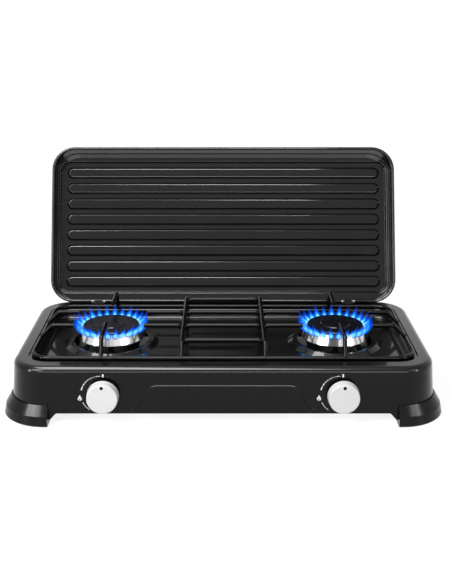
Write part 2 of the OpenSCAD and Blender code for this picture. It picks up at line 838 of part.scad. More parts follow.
module side_finger(s, y) {
    slant = wire_z - frame_top();
    wire([
        [s * frame_w / 2, y, frame_top()],
        [s * (frame_w / 2 - slant), y, wire_z],
        [s * (burner_x + side_tip_r), y, wire_z]
    ], wire_d, wire_bend_r);
}

module end_finger(x, s) {
    y = s * frame_d / 2;
    high = wire_z + finger_rise;
    wire([[x, y, frame_top()], [x, y - s * finger_in, high], [x, s * end_tip_r, high]], wire_d, wire_bend_r);
}

module frame_loop() {
    for (i = [0:3]) rotate(90 * i) {
        x = (i % 2 == 0 ? frame_w : frame_d) / 2;
        y = (i % 2 == 0 ? frame_d : frame_w) / 2;
        reach = y - frame_bend_r + joint_over;
        rod([x, -reach, frame_z], [x, reach, frame_z], frame_wire_d);
        elbow([x, y, frame_z], [0, 1, 0], [-1, 0, 0], frame_wire_d + 2 * joint_slack, frame_bend_r);
    }
}

module pan_support() {
    color(wire_black) {
        frame_loop();
        for (s = [-1, 1]) {
            strut(s);
            long_cross_wire(s * cross_y);
            short_cross_wire(s * (frame_d / 2 - short_wire_in));
            for (e = [-1, 1]) {
                side_finger(s, e * cross_y);
                end_finger(s * (burner_x + finger_off), e);
            }
        }
    }
}

module burner_cup(s) {
    color(wire_black) translate([s * burner_x, 0, 0]) difference() {
        union() {
            rotate_extrude() polygon([[0, cup_z], [cup_low_r, cup_z], [cup_top_r, ring_z], [0, ring_z]]);
            for (a = ear_angles) rotate(a) translate([0, -ear_w / 2, ear_top - ear_t]) {
                cube([ear_r, ear_w, ear_t]);
                translate([ear_r, ear_w / 2, 0]) cylinder(h = ear_t, d = ear_w);
            }
            translate([s * (knob_x - burner_x), 0, knob_z])
                along_y(-cup_low_r - cup_boss_l, 0, venturi_r + boss_wall);
        }
        rotate_extrude() polygon([
            [0, cup_z + cup_wall], [cup_low_r - cup_wall, cup_z + cup_wall],
            [cup_top_r - cup_wall, ring_z], [cup_top_r - cup_wall, ring_z + eps], [0, ring_z + eps]
        ]);
        translate([s * (knob_x - burner_x), 0, knob_z])
            along_y(-cup_low_r - cup_boss_l - eps, 0, venturi_r + run);
        for (a = ear_angles) rotate(a) translate([ear_r, 0, ear_top - ear_t - eps])
            cylinder(h = ear_t + 2 * eps, r = stud_r + run);
    }
}

module flame_ring(s) {
    color(aluminium) translate([s * burner_x, 0, 0]) difference() {
        rotate_extrude() polygon([
            [ring_bore_r, ring_z], [ring_low_r, ring_z],
            [ring_low_r, ring_z + ring_edge_h], [ring_top_r, cap_z],
            [ring_bore_r, cap_z]
        ]);
        for (i = [0:port_count - 1]) rotate((i + 0.5) * port_steps)
            translate([ring_bore_r - 2, -port_w / 2, cap_z - port_h])
                cube([ring_low_r - ring_bore_r, port_w, port_h + eps]);
    }
}

module burner_cap(s) {
    top = cap_z + cap_edge_t;
    chamfer = 1;
    color(enamel) translate([s * burner_x, 0, 0]) rotate_extrude() polygon([
        [0, cap_z - cap_plug_h], [cap_plug_r, cap_z - cap_plug_h], [cap_plug_r, cap_z], [cap_r, cap_z],
        [cap_r, top - chamfer], [cap_r - chamfer, top], [cap_boss_r + cap_boss_h, top],
        [cap_boss_r, top + cap_boss_h], [0, top + cap_boss_h]
    ]);
}

module venturi(s) {
    rear = -cup_low_r + 4;
    neck = venturi_front + venturi_mouth_l;
    color(steel) translate([s * knob_x, 0, knob_z]) difference() {
        union() {
            along_y(venturi_front, neck, venturi_mouth_r, venturi_r);
            along_y(neck, rear, venturi_r);
        }
        along_y(venturi_front, neck, venturi_mouth_r - venturi_wall, venturi_r - venturi_wall);
        along_y(neck, rear + eps, venturi_r - venturi_wall);
        translate([0, venturi_front - eps, 0]) along_y(0, eps, venturi_mouth_r - venturi_wall);
    }
}

module injector(s) {
    color(brass) translate([s * knob_x, 0, knob_z]) difference() {
        union() {
            along_y(tap_rear - injector_thread_l, tap_rear + eps, injector_thread_r);
            translate([0, tap_rear, 0]) rotate([-90, 0, 0])
                cylinder(h = injector_hex_l, r = injector_hex_r, $fn = 6);
            along_y(tap_rear + injector_hex_l, tap_rear + injector_hex_l + injector_nose_l, injector_nose_r);
        }
        along_y(tap_rear - injector_thread_l - eps, tap_rear + injector_hex_l, 1.5);
        along_y(tap_rear, tap_rear + injector_hex_l + injector_nose_l + eps, orifice_r);
    }
}

module tap_body(s) {
    color(brass) translate([s * knob_x, 0, 0]) difference() {
        union() {
            translate([0, 0, knob_z]) along_y(tap_front, tap_rear, tap_r);
            translate([0, rail_y, rail_z]) cylinder(h = knob_z - rail_z, r = plug_r);
            translate([0, rail_y, rail_z]) rotate([0, 90, 0])
                cylinder(h = saddle_l, r = saddle_r, center = true);
        }
        translate([0, 0, knob_z]) {
            along_y(tap_front - eps, plug_bore_end, plug_r);
            along_y(plug_bore_end - eps, tap_rear, 1.5);
            along_y(tap_rear - injector_thread_l, tap_rear + eps, injector_thread_r + run);
        }
        translate([0, rail_y, rail_z]) {
            rotate([0, 90, 0]) cylinder(h = saddle_l + 2 * eps, r = rail_r + run, center = true);
            cylinder(h = knob_z - rail_z, r = port_r);
        }
    }
}

module tap_plug(s) {
    color(brass) translate([s * knob_x, 0, knob_z]) difference() {
        along_y(plug_front, plug_rear, plug_r - run);
        translate([0, plug_front + socket_l / 2 - eps, 0])
            cube([tang_w + 0.2, socket_l + 2 * eps, tang_w + 0.2], center = true);
        translate([0, rail_y, 0]) rotate([0, -90, 0]) cylinder(h = plug_r + eps, r = port_r);
        along_y(rail_y, plug_rear + eps, 1.5);
    }
}

module tap_spring(s) {
    color(steel) translate([s * knob_x, 0, knob_z]) difference() {
        along_y(collar_rear + run, plug_front - run, spring_out_r);
        along_y(collar_rear, plug_front, spring_out_r - spring_wall);
    }
}

module tap_stem(s) {
    color(steel) translate([s * knob_x, 0, knob_z]) difference() {
        union() {
            translate([0, (tang_front + tang_rear) / 2, 0])
                cube([tang_w, tang_rear - tang_front, tang_w], center = true);
            along_y(collar_rear - eps, tang_front, stem_r);
            along_y(collar_front, collar_rear, collar_r);
            along_y(stem_front, collar_front + eps, stem_r);
        }
        translate([-stem_r, stem_front - eps, stem_r - stem_flat])
            cube([2 * stem_r, stem_flat_l + eps, stem_r]);
    }
}

module tap_cover(s) {
    color(steel) translate([s * knob_x, 0, knob_z]) difference() {
        along_y(tap_front - cover_t, tap_front, tap_r);
        along_y(tap_front - cover_t - eps, tap_front + eps, stem_r + run);
    }
}

// Outline of the knob's outer skin, x outwards and y from back to front
module knob_profile() {
    r = knob_d / 2;
    e = knob_edge_r;
    polygon([
        [0, 0], [r, 0], [r - knob_taper, knob_t - e], [r - knob_taper - e, knob_t - e], [0, knob_t - e]
    ]);
    square([r - knob_taper - e, knob_t]);
    translate([r - knob_taper - e, knob_t - e]) intersection() {
        circle(e);
        square(e);
    }
}

module knob(s) {
    hub_back = -stem_flat_l - knob_face_t;
    color(plastic_white) translate([s * knob_x, knob_back, knob_z]) difference() {
        rotate([90, 0, 0]) rotate_extrude() knob_profile();
        difference() {
            along_y(-knob_t + knob_face_t, eps, knob_d / 2 - knob_taper - knob_wall);
            along_y(-knob_t, 2 * eps, knob_hub_r);
        }
        difference() {
            along_y(stem_front - knob_back - 0.3, eps, stem_r + run);
            translate([-stem_r - 1, hub_back - eps, stem_r - stem_flat + run])
                cube([2 * stem_r + 2, stem_flat_l + stem_front - knob_back - hub_back - eps, stem_r]);
        }
    }
}

module gas_rail() {
    bend_x = supply_x - rail_bend_r;
    bend_y = rail_y + rail_bend_r;
    color(steel) translate([0, 0, rail_z]) difference() {
        rail_run(bend_x, bend_y, rail_r, 0);
        rail_run(bend_x, bend_y, rail_bore_r, eps);
        for (s = [-1, 1]) translate([s * knob_x, rail_y, 0]) cylinder(h = rail_r + eps, r = port_r);
    }
}

module rail_run(bend_x, bend_y, r, over) {
    translate([rail_left - over, rail_y, 0]) rotate([0, 90, 0])
        cylinder(h = bend_x - rail_left + over, r = r);
    translate([bend_x, bend_y, 0]) rotate(-90) rotate_extrude(angle = 90)
        translate([rail_bend_r, 0]) circle(r);
    translate([supply_x, 0, 0]) along_y(bend_y, pipe_rear + over, r);
}

module rail_end_plug() {
    color(brass) translate([rail_left, rail_y, rail_z]) rotate([0, 90, 0]) {
        translate([0, 0, -3]) cylinder(h = 3, r = rail_r);
        cylinder(h = end_plug_l, r = rail_bore_r - run);
    }
}

module rail_bracket(s) {
    inside = -body_d / 2 - skirt_u(bracket_low) + sheet_t / cos(skirt_draft) + run;
    height = (bracket_high - bracket_low) / cos(skirt_draft);
    color(steel) translate([s * bracket_x, 0, 0]) difference() {
        union() {
            translate([-bracket_w / 2, inside, bracket_low]) rotate([-skirt_draft, 0, 0])
                cube([bracket_w, bracket_t, height]);
            translate([-bracket_w / 2, inside + bracket_t, rail_z - bracket_arm_t / 2])
                cube([bracket_w, rail_y - inside - bracket_t, bracket_arm_t]);
            translate([0, rail_y, rail_z]) rotate([0, 90, 0])
                cylinder(h = bracket_w, r = rail_r + bracket_t, center = true);
        }
        translate([0, rail_y, rail_z]) rotate([0, 90, 0])
            cylinder(h = bracket_w + 2 * eps, r = rail_r + run, center = true);
    }
}

module inlet_nozzle() {
    inner = skirt_rear_y - sheet_t - inlet_seat;
    outer = skirt_rear_y + inlet_seat + inlet_nut_t;
    color(brass) translate([supply_x, 0, rail_z]) difference() {
        union() {
            along_y(pipe_rear - 8, inner, fitting_r);
            along_y(inner - eps, outer + 1, neck_r);
            along_y(outer, outer + 1 + hose_tail_l, hose_tail_r);
        }
        along_y(pipe_rear - 8 - eps, pipe_rear + run, rail_r + run);
        along_y(pipe_rear, outer + 2 + hose_tail_l, nozzle_bore_r);
    }
}

module inlet_nut() {
    color(brass) translate([supply_x, skirt_rear_y + inlet_seat, rail_z]) rotate([-90, 0, 0]) difference() {
        cylinder(h = inlet_nut_t, r = inlet_nut_r, $fn = 6);
        translate([0, 0, -eps]) cylinder(h = inlet_nut_t + 2 * eps, r = neck_r + run);
    }
}

// Outline of a foot; x is counted outwards from the body's top edge
module foot_profile() {
    top_in = skirt_u(foot_h) + foot_gap;
    polygon([
        [-foot_inner, 0], [foot_out - foot_edge, 0],
        [foot_out, foot_edge], [foot_out - foot_slant, foot_band_h],
        [top_in + foot_lip, foot_h], [top_in, foot_h],
        [skirt_u(skirt_low) + foot_gap, skirt_low], [-foot_inner, skirt_low]
    ]);
}

module foot(x, y) {
    r = body_corner_r;
    color(plastic_black) mirror([x < 0 ? 1 : 0, 0, 0]) mirror([0, y < 0 ? 1 : 0, 0]) difference() {
        translate([body_w / 2 - r, body_d / 2 - r, 0]) {
            rotate_extrude(angle = 90) translate([r, 0]) foot_profile();
            rotate([90, 0, 0]) translate([r, 0, 0]) linear_extrude(foot_leg) foot_profile();
            rotate(90) rotate([90, 0, 0]) translate([r, 0, -foot_leg])
                linear_extrude(foot_leg) foot_profile();
        }
        at_foot_screws() {
            translate([0, 0, -eps]) cylinder(h = skirt_low + 2 * eps, r = foot_screw_r + run);
            translate([0, 0, -eps]) cylinder(h = foot_screw_sink + eps, r = foot_screw_head_r + 0.3);
        }
    }
}

module foot_screws() {
    color(steel) at_foot_screws() {
        translate([0, 0, foot_screw_sink - foot_screw_head_h])
            cylinder(h = foot_screw_head_h, r = foot_screw_head_r);
        translate([0, 0, foot_screw_sink - eps])
            cylinder(h = foot_screw_top - foot_screw_sink + eps, r = foot_screw_r);
    }
}

module at_studs() {
    for (s = [-1, 1], a = ear_angles)
        translate([s * burner_x, 0, 0]) rotate(a) translate([ear_r, 0, 0]) children();
}

module burner_studs() {
    color(steel) at_studs() translate([0, 0, ear_top - stud_l]) cylinder(h = stud_l, r = stud_r);
}

module burner_nuts() {
    color(steel) at_studs() translate([0, 0, ear_top - ear_t - nut_t]) difference() {
        cylinder(h = nut_t, r = nut_r, $fn = 6);
        translate([0, 0, -eps]) cylinder(h = nut_t + 2 * eps, r = stud_r + run);
    }
}

hob_body();
lid_shell();
lid_lug(-1);  // lid_lug_left
lid_lug(1);  // lid_lug_right
hinge_bracket(-1);  // hinge_bracket_left
hinge_bracket(1);  // hinge_bracket_right
hinge_pin(-1);  // hinge_pin_left
hinge_pin(1);  // hinge_pin_right
hinge_rivets();
pan_support();
burner_cup(-1);  // burner_cup_left
burner_cup(1);  // burner_cup_right
flame_ring(-1);  // flame_ring_left
flame_ring(1);  // flame_ring_right
burner_cap(-1);  // burner_cap_left
burner_cap(1);  // burner_cap_right
venturi(-1);  // venturi_left
venturi(1);  // venturi_right
injector(-1);  // injector_left
injector(1);  // injector_right
tap_body(-1);  // tap_body_left
tap_body(1);  // tap_body_right
tap_plug(-1);  // tap_plug_left
tap_plug(1);  // tap_plug_right
tap_spring(-1);  // tap_spring_left
tap_spring(1);  // tap_spring_right
tap_stem(-1);  // tap_stem_left
tap_stem(1);  // tap_stem_right
tap_cover(-1);  // tap_cover_left
tap_cover(1);  // tap_cover_right
knob(-1);  // knob_left
knob(1);  // knob_right
gas_rail();
rail_end_plug();
rail_bracket(-1);  // rail_bracket_left
rail_bracket(1);  // rail_bracket_right
inlet_nozzle();
inlet_nut();
foot(-1, -1);  // foot_front_left
foot(1, -1);  // foot_front_right
foot(-1, 1);  // foot_rear_left
foot(1, 1);  // foot_rear_right
foot_screws();
burner_studs();
burner_nuts();
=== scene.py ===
# Looks of a two-burner tabletop gas stove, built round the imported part.
# Lengths of the pieces are in millimetres in the part's frame; the stage and the lamps are in metres.
import json
import math

import bmesh
import bpy
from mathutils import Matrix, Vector


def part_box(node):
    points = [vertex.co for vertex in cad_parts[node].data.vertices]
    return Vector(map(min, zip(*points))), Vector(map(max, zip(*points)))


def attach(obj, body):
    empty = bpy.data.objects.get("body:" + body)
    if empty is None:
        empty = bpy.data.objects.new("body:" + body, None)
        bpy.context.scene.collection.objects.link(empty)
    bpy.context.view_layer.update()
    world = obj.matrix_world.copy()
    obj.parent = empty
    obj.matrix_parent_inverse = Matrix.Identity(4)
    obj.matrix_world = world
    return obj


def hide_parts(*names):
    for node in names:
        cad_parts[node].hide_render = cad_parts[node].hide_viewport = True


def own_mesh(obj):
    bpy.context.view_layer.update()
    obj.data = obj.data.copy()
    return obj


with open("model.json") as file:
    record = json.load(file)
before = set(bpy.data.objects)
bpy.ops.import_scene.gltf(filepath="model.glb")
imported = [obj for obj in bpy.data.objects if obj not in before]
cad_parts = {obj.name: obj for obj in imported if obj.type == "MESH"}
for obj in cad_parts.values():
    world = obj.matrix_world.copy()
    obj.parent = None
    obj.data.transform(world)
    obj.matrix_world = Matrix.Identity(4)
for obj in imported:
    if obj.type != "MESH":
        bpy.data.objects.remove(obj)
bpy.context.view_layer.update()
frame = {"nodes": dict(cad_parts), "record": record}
nodes = frame["nodes"]

MM = 0.001
ALONG_X, ALONG_Y, ALONG_Z = Vector((1, 0, 0)), Vector((0, 1, 0)), Vector((0, 0, 1))
SIDES = (("left", -1), ("right", 1))
FEET = ("foot_front_left", "foot_front_right", "foot_rear_left", "foot_rear_right")
CAPS = ("burner_cap_left", "burner_cap_right")

# Places that the frame gives
joints = {joint["name"]: joint for joint in frame["record"]["behaviour"]["joints"]}
ring_low, ring_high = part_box("flame_ring_right")
BURNER_X = (ring_low.x + ring_high.x) / 2 / MM
RING_TOP_Z = ring_high.z / MM
KNOB_X = joints["tap_turn_right"]["pos_m"][0] / MM
KNOB_Z = joints["tap_turn_right"]["pos_m"][2] / MM

# Sizes that the part's source gives
RING_TOP_R = 40
BODY_D = 274
EDGE_R = 8
SKIRT_DRAFT = math.radians(5)
SKIRT_ARC_Z = 68


def skirt_y(z):
    """Place of the front panel's outside at a height."""
    out = EDGE_R / math.cos(SKIRT_DRAFT) - EDGE_R + (SKIRT_ARC_Z - z) * math.tan(SKIRT_DRAFT)
    return -BODY_D / 2 - out


# Small helpers for shader nodes
def add_node(tree, kind, inputs=None, **props):
    """A new node with its properties set, and its inputs set or linked."""
    node = tree.nodes.new(kind)
    for key, value in props.items():
        setattr(node, key, value)
    for key, value in (inputs or {}).items():
        if isinstance(value, bpy.types.NodeSocket):
            tree.links.new(value, node.inputs[key])
        else:
            node.inputs[key].default_value = value
    return node


def math_node(tree, operation, *values):
    return add_node(tree, "ShaderNodeMath", dict(enumerate(values)), operation=operation).outputs[0]


# Span that a noise mostly stays in
NOISE_LOW, NOISE_HIGH = 0.3, 0.7


class Shader:
    """A material with one Principled shader and short ways to add nodes."""

    def __init__(self, name, **sockets):
        self.mat = bpy.data.materials.new(name)
        self.mat.use_nodes = True
        self.tree = self.mat.node_tree
        self.bsdf = self.tree.nodes["Principled BSDF"]
        self.coords = self.add("ShaderNodeTexCoord").outputs["Object"]
        for key, value in sockets.items():
            self.bsdf.inputs[key.replace("_", " ")].default_value = value

    def add(self, kind, inputs=None, **props):
        return add_node(self.tree, kind, inputs, **props)

    def noise(self, scale, detail=2.0, rough=0.5, vector=None):
        inputs = {"Vector": vector or self.coords, "Scale": scale, "Detail": detail, "Roughness": rough}
        return self.add("ShaderNodeTexNoise", inputs).outputs["Fac"]

    def noise_along(self, value, scale, detail):
        inputs = {"W": value, "Scale": scale, "Detail": detail}
        return self.add("ShaderNodeTexNoise", inputs, noise_dimensions="1D").outputs["Fac"]

    def math(self, operation, *values):
        return math_node(self.tree, operation, *values)

    def stretched(self, x, y, z):
        inputs = {"Vector": self.coords, "Scale": (x, y, z)}
        return self.add("ShaderNodeMapping", inputs).outputs["Vector"]

    def ramp(self, fac, stops):
        node = self.add("ShaderNodeValToRGB", {"Fac": fac})
        ramp = node.color_ramp
        while len(ramp.elements) < len(stops):
            ramp.elements.new(0.5)
        for element, (at, colour) in zip(ramp.elements, stops):
            element.position = at
            element.color = (*colour, 1)
        return node.outputs["Color"]

    def shades(self, noise, dark, light):
        return self.ramp(noise, [(NOISE_LOW, dark), (NOISE_HIGH, light)])

    def between(self, fac, low, high):
        inputs = {"Value": fac, "To Min": low, "To Max": high}
        return self.add("ShaderNodeMapRange", inputs).outputs["Result"]

    def link(self, out, socket):
        self.tree.links.new(out, self.bsdf.inputs[socket])

    def bump(self, height, strength, distance):
        inputs = {"Height": height, "Strength": strength, "Distance": distance}
        self.link(self.add("ShaderNodeBump", inputs).outputs["Normal"], "Normal")


# Depths of the bumps, in metres
PEEL_DEPTH, GRAIN_DEPTH, MARK_DEPTH = 0.0004, 0.0003, 0.0002
# Sizes of the patterns, as noise scales
CLOUD_SCALE, HAZE_SCALE, PEEL_SCALE = 14, 45, 330
TONE_SCALE, RUB_SCALE, TARNISH_SCALE, LATHE_SCALE = 22, 160, 30, 2600
COAT_IOR, COAT_ROUGH = 1.21, 0.04


def grey(value, tint=(1, 1, 1)):
    """A grey of that brightness, or a tint times it."""
    return tuple(value * t for t in tint)


def enamel(name, tone, ior, rough, spread, peel, coat=0.0):
    """Glassy enamel: nearly even colour, a little haze and the faint waviness of a sprayed coat."""
    s = Shader(name, IOR=ior, Coat_Weight=coat, Coat_IOR=COAT_IOR, Coat_Roughness=COAT_ROUGH)
    cloud = s.noise(CLOUD_SCALE, 3)
    s.link(s.shades(cloud, grey(tone * 0.8), grey(tone * 1.2, (1, 1, 1.02))), "Base Color")
    s.link(s.between(s.noise(HAZE_SCALE, 4), rough - spread, rough + spread), "Roughness")
    s.bump(s.noise(PEEL_SCALE, 2), peel, PEEL_DEPTH)
    return s.mat


def moulded(name, tone, rough, grain, strength, tint=(1, 1, 1), ior=1.46):
    """Moulded plastic or paint with a fine grain."""
    s = Shader(name, IOR=ior)
    cloud = s.noise(TONE_SCALE, 2)
    s.link(s.shades(cloud, grey(tone * 0.97, tint), grey(tone * 1.03, tint)), "Base Color")
    s.link(s.between(s.noise(RUB_SCALE, 3), rough - 0.05, rough + 0.05), "Roughness")
    s.bump(s.noise(grain, 2), strength, GRAIN_DEPTH)
    return s.mat


def metal(name, colour, rough, scale, strength, stretch=(1, 1, 1)):
    """Bare metal with tool marks; stretch gives the marks their direction."""
    s = Shader(name, Metallic=1.0)
    marks = s.noise(scale, 3, 0.6, s.stretched(*stretch))
    s.link(s.shades(s.noise(TARNISH_SCALE, 2), grey(0.94, colour), colour), "Base Color")
    s.link(s.between(marks, rough * 0.7, rough * 1.3), "Roughness")
    s.bump(marks, strength, MARK_DEPTH)
    return s.mat


def polished_with_painted_reflections(name, axis_x):
    """Turned ring with a high polish: fine lathe marks, and painted reflections as brighter and darker
    stretches of base colour round its axis.
    """
    s = Shader(name, Metallic=1.0)
    split = s.add("ShaderNodeSeparateXYZ", {"Vector": s.coords})
    x = s.math("SUBTRACT", split.outputs["X"], axis_x * MM)
    y = s.math("MULTIPLY", split.outputs["Y"], -1.0)
    turn = s.math("ARCTAN2", x, y)
    # Painted reflections: broad and narrow stretches round the ring, from dark grey to bright, stand in for
    # what the ring reflects.
    wide_painted_reflection = s.noise_along(turn, 1.9, 1.0)
    fine = s.noise_along(turn, 14.0, 3.0)
    both = s.math("MULTIPLY_ADD", fine, 0.12, wide_painted_reflection)
    s.link(s.ramp(both, [
        (0.40, (0.10, 0.10, 0.105)), (0.50, (0.34, 0.34, 0.35)), (0.58, (0.66, 0.66, 0.67)),
        (0.66, (0.74, 0.74, 0.74)), (0.78, (0.36, 0.36, 0.37))]), "Base Color")
    marks = s.noise(LATHE_SCALE, 3, 0.6, s.stretched(0.02, 0.02, 1))
    s.link(s.between(marks, 0.10, 0.20), "Roughness")
    s.bump(marks, 0.08, MARK_DEPTH)
    return s.mat


mat_body = enamel("enamel_body", tone=0.0012, ior=1.17, rough=0.30, spread=0.04, peel=0.03, coat=1.0)
# The lid's copy of the black enamel is glossier. Its lighter base colour is painted light, standing in for
# the brighter look the lid has where light falls on it.
mat_lid_painted_lighter = enamel("enamel_lid", tone=0.0055, ior=1.34, rough=0.08, spread=0.01, peel=0.006)
mat_wire = enamel("enamel_wire", tone=0.0015, ior=1.2, rough=0.07, spread=0.02, peel=0.03)
mat_cap = enamel("enamel_cap", tone=0.004, ior=1.24, rough=0.22, spread=0.04, peel=0.06)
mat_foot = moulded("plastic_black", tone=0.003, rough=0.2, grain=1500, strength=0.03, ior=1.25)
mat_knob = moulded("plastic_white", tone=0.80, rough=0.30, grain=1200, strength=0.04, tint=(1, 1, 0.995))
mat_dot = moulded("paint_black", tone=0.002, rough=0.5, grain=900, strength=0.05, ior=1.15)
mat_print = moulded("paint_white", tone=0.78, rough=0.45, grain=900, strength=0.05)
mat_ring = {name: polished_with_painted_reflections(f"aluminium_turned_{name}", s * BURNER_X) for name, s in SIDES}
mat_cast = metal("aluminium_cast", (0.62, 0.63, 0.64), rough=0.45, scale=900, strength=0.5)
mat_zinc = metal("steel_zinc", (0.56, 0.57, 0.60), rough=0.32, scale=500, strength=0.15)
mat_brass = metal("brass_turned", (0.78, 0.58, 0.27), rough=0.25, scale=1500, strength=0.15,
                  stretch=(1, 0.05, 1))

BY_SLOT = {
    "black_enamel": mat_body, "cap_enamel": mat_cap, "black_wire": mat_wire,
    "cast_aluminium": mat_cast, "zinc_steel": mat_zinc, "spring_steel": mat_zinc, "brass": mat_brass,
    "white_plastic": mat_knob, "black_plastic": mat_foot,
}
for sub in frame["record"]["subparts"]:
    name = sub["node"]
    material = BY_SLOT.get(sub["material_slot"])
    if name == "lid_shell":
        material = mat_lid_painted_lighter
    elif name.startswith("flame_ring_"):
        material = mat_ring[name.removeprefix("flame_ring_")]
    nodes[name].data.materials.clear()
    nodes[name].data.materials.append(material)


# New pieces
def circle(bm, centre, right, up, radius, count):
    """Points round a centre in the plane of two directions, in metres."""
    turns = [2 * math.pi * i / count for i in range(count)]
    return [bm.verts.new(centre + (right * math.cos(a) + up * math.sin(a)) * radius) for a in turns]


def skin(bm, rings, loop=False):
    """Faces between neighbouring rings of points, and over both ends where the rings don't close a loop."""
    count = len(rings[0])
    for low, high in zip(rings, rings[1:] + rings[:1] if loop else rings[1:]):
        for i in range(count):
            j = (i + 1) % count
            bm.faces.new([low[i], low[j], high[j], high[i]])
    if not loop:
        bm.faces.new(rings[0])
        bm.faces.new(rings[-1])


def piece(name, bm, material, body):
    bmesh.ops.recalc_face_normals(bm, faces=bm.faces)
    mesh = bpy.data.meshes.new(name)
    bm.to_mesh(mesh)
    bm.free()
    obj = bpy.data.objects.new(name, mesh)
    bpy.context.scene.collection.objects.link(obj)
    mesh.materials.append(material)
    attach(obj, body)
    return obj


def panel_point(x, foot_z, up, out):
    """A point of the front panel: x, the way up the sloping sheet from a height, and the way out of it."""
    z = foot_z + up * math.cos(SKIRT_DRAFT)
    y = skirt_y(z) - out * math.cos(SKIRT_DRAFT)
    return Vector((x, y, z + out * math.sin(SKIRT_DRAFT))) * MM


# White marks printed on the panel, drawn flat as (right, up) from a middle just below the tap axis
DIAL_Z = 38
PRINT_T, PRINT_SUNK = 0.06, 0.02


def print_ring(bm, side, outline, out):
    return [bm.verts.new(panel_point(side * KNOB_X + x, DIAL_Z, up, out)) for x, up in outline]


def add_print(bm, side, outline):
    """A thin closed plate on the panel from a flat outline."""
    skin(bm, [print_ring(bm, side, outline, -PRINT_SUNK), print_ring(bm, side, outline, PRINT_T)])


# Middle and radius of the dial's arc, its mark for off, and its stretches as two angles and two widths
ARC_X, ARC_Z, ARC_R = -4.3, 2.3, 24.7
OFF_MARK = ((-1.35, 25.6), (0.75, 25.6), (0.75, 29.6), (-1.35, 29.6))
FIRST_ARC = (88, 101, 0.5, 0.8)
LAST_ARC = (205, 236, 0.9, 0.5)
# Dashes between them, in degrees, and how they widen
DASH_START, DASH_GAP = 103.0, 2.9
DASH_LENGTHS = (1.3, 1.5, 1.8, 2.2, 2.8, 3.8, 5.6, 8.4, 12.0)
DASH_W, DASH_W_GAIN, DASH_W_FROM, DASH_W_RUN = 0.9, 0.6, 100, 66
# Drop-shaped flame mark and the hole in it, as middle, width and height
DROP = (-30.5, -3.1, 5.6, 7.6)
DROP_HOLE = (-30.5, -4.6, 1.7, 2.4)


def arc_dash(a0, a1, w0, w1, steps=6):
    """Outline of a piece of the dial's arc, from angle a0 to a1 and from width w0 to w1."""
    outer, inner = [], []
    for i in range(steps + 1):
        t = i / steps
        a = math.radians(a0 + (a1 - a0) * t)
        half = (w0 + (w1 - w0) * t) / 2
        for r, line in ((ARC_R + half, outer), (ARC_R - half, inner)):
            line.append((ARC_X + r * math.cos(a), ARC_Z + r * math.sin(a)))
    return outer + inner[::-1]


def drop_outline(cx, cz, w, h, n=28):
    """A flame-shaped drop, round below and pointed above."""
    points = []
    for i in range(n):
        a = 2 * math.pi * i / n
        up = -math.cos(a)
        narrow = 1 - 0.62 * max(0.0, up) ** 0.8
        points.append((cx + w / 2 * math.sin(a) * narrow, cz + h * (0.36 * up if up < 0 else 0.64 * up)))
    return points


for side_name, s in SIDES:
    bm = bmesh.new()
    add_print(bm, s, OFF_MARK)
    add_print(bm, s, arc_dash(*FIRST_ARC))
    angle = DASH_START
    for length in DASH_LENGTHS:
        width = DASH_W + DASH_W_GAIN * (angle - DASH_W_FROM) / DASH_W_RUN
        add_print(bm, s, arc_dash(angle, angle + length, width, width + 0.05))
        angle += length + DASH_GAP
    add_print(bm, s, arc_dash(*LAST_ARC))
    drop = drop_outline(*DROP)
    hole = drop_outline(*DROP_HOLE)
    skin(bm, [
        print_ring(bm, s, drop, PRINT_T), print_ring(bm, s, hole, PRINT_T),
        print_ring(bm, s, hole, -PRINT_SUNK), print_ring(bm, s, drop, -PRINT_SUNK)], loop=True)
    piece(f"dial_print_{side_name}", bm, mat_print, "hob")

# Sloping edge of the raised field in the middle of the front panel
FIELD_TOP_X, FIELD_LOW_X, FIELD_TOP_Z, FIELD_LOW_Z, FIELD_H = 87, 118, 51, 19, 1.0
FIELD_STEPS = 8
# Outline across the edge, as the way out of the field's outline and the way out of the panel
FIELD_EDGE = ((0.0, -0.05), (1.7, -0.05), (1.7, 0.0), (0.85, 0.2), (0.0, FIELD_H))
rise = (FIELD_TOP_Z - FIELD_LOW_Z) / math.cos(SKIRT_DRAFT)
right = []
for i in range(FIELD_STEPS + 1):
    t = i / FIELD_STEPS
    right.append((FIELD_LOW_X + (FIELD_TOP_X - FIELD_LOW_X) * t, rise * (1 - math.cos(math.pi * t)) / 2))
line = right + [(-x, up) for x, up in reversed(right)]
bm = bmesh.new()
rows = []
for i, (x, up) in enumerate(line):
    before, after = line[max(i - 1, 0)], line[min(i + 1, len(line) - 1)]
    way = Vector((after[0] - before[0], after[1] - before[1])).normalized()
    off = Vector((way.y, -way.x))
    edge = [panel_point(x + off.x * k, FIELD_LOW_Z, up + off.y * k, out) for k, out in FIELD_EDGE]
    rows.append([bm.verts.new(point) for point in edge])
skin(bm, rows)
piece("field_edge", bm, mat_body, "hob")

# Black dot near the top of each knob's face
DOT_R, DOT_UP, DOT_T, DOT_SEGMENTS = 2.2, 15.4, 0.12, 32
# Outline of the dot from the knob's face outwards, as radius and place along y
DOT_PROFILE = ((DOT_R, 0.05), (DOT_R, -DOT_T * 0.5), (DOT_R * 0.9, -DOT_T))
for side_name, s in SIDES:
    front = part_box(f"knob_{side_name}")[0].y / MM
    bm = bmesh.new()
    rings = []
    for r, y in DOT_PROFILE:
        centre = Vector((s * KNOB_X, front + y, KNOB_Z + DOT_UP)) * MM
        rings.append(circle(bm, centre, ALONG_X, ALONG_Z, r * MM, DOT_SEGMENTS))
    skin(bm, rings)
    piece(f"knob_dot_{side_name}", bm, mat_dot, f"control_{side_name}")

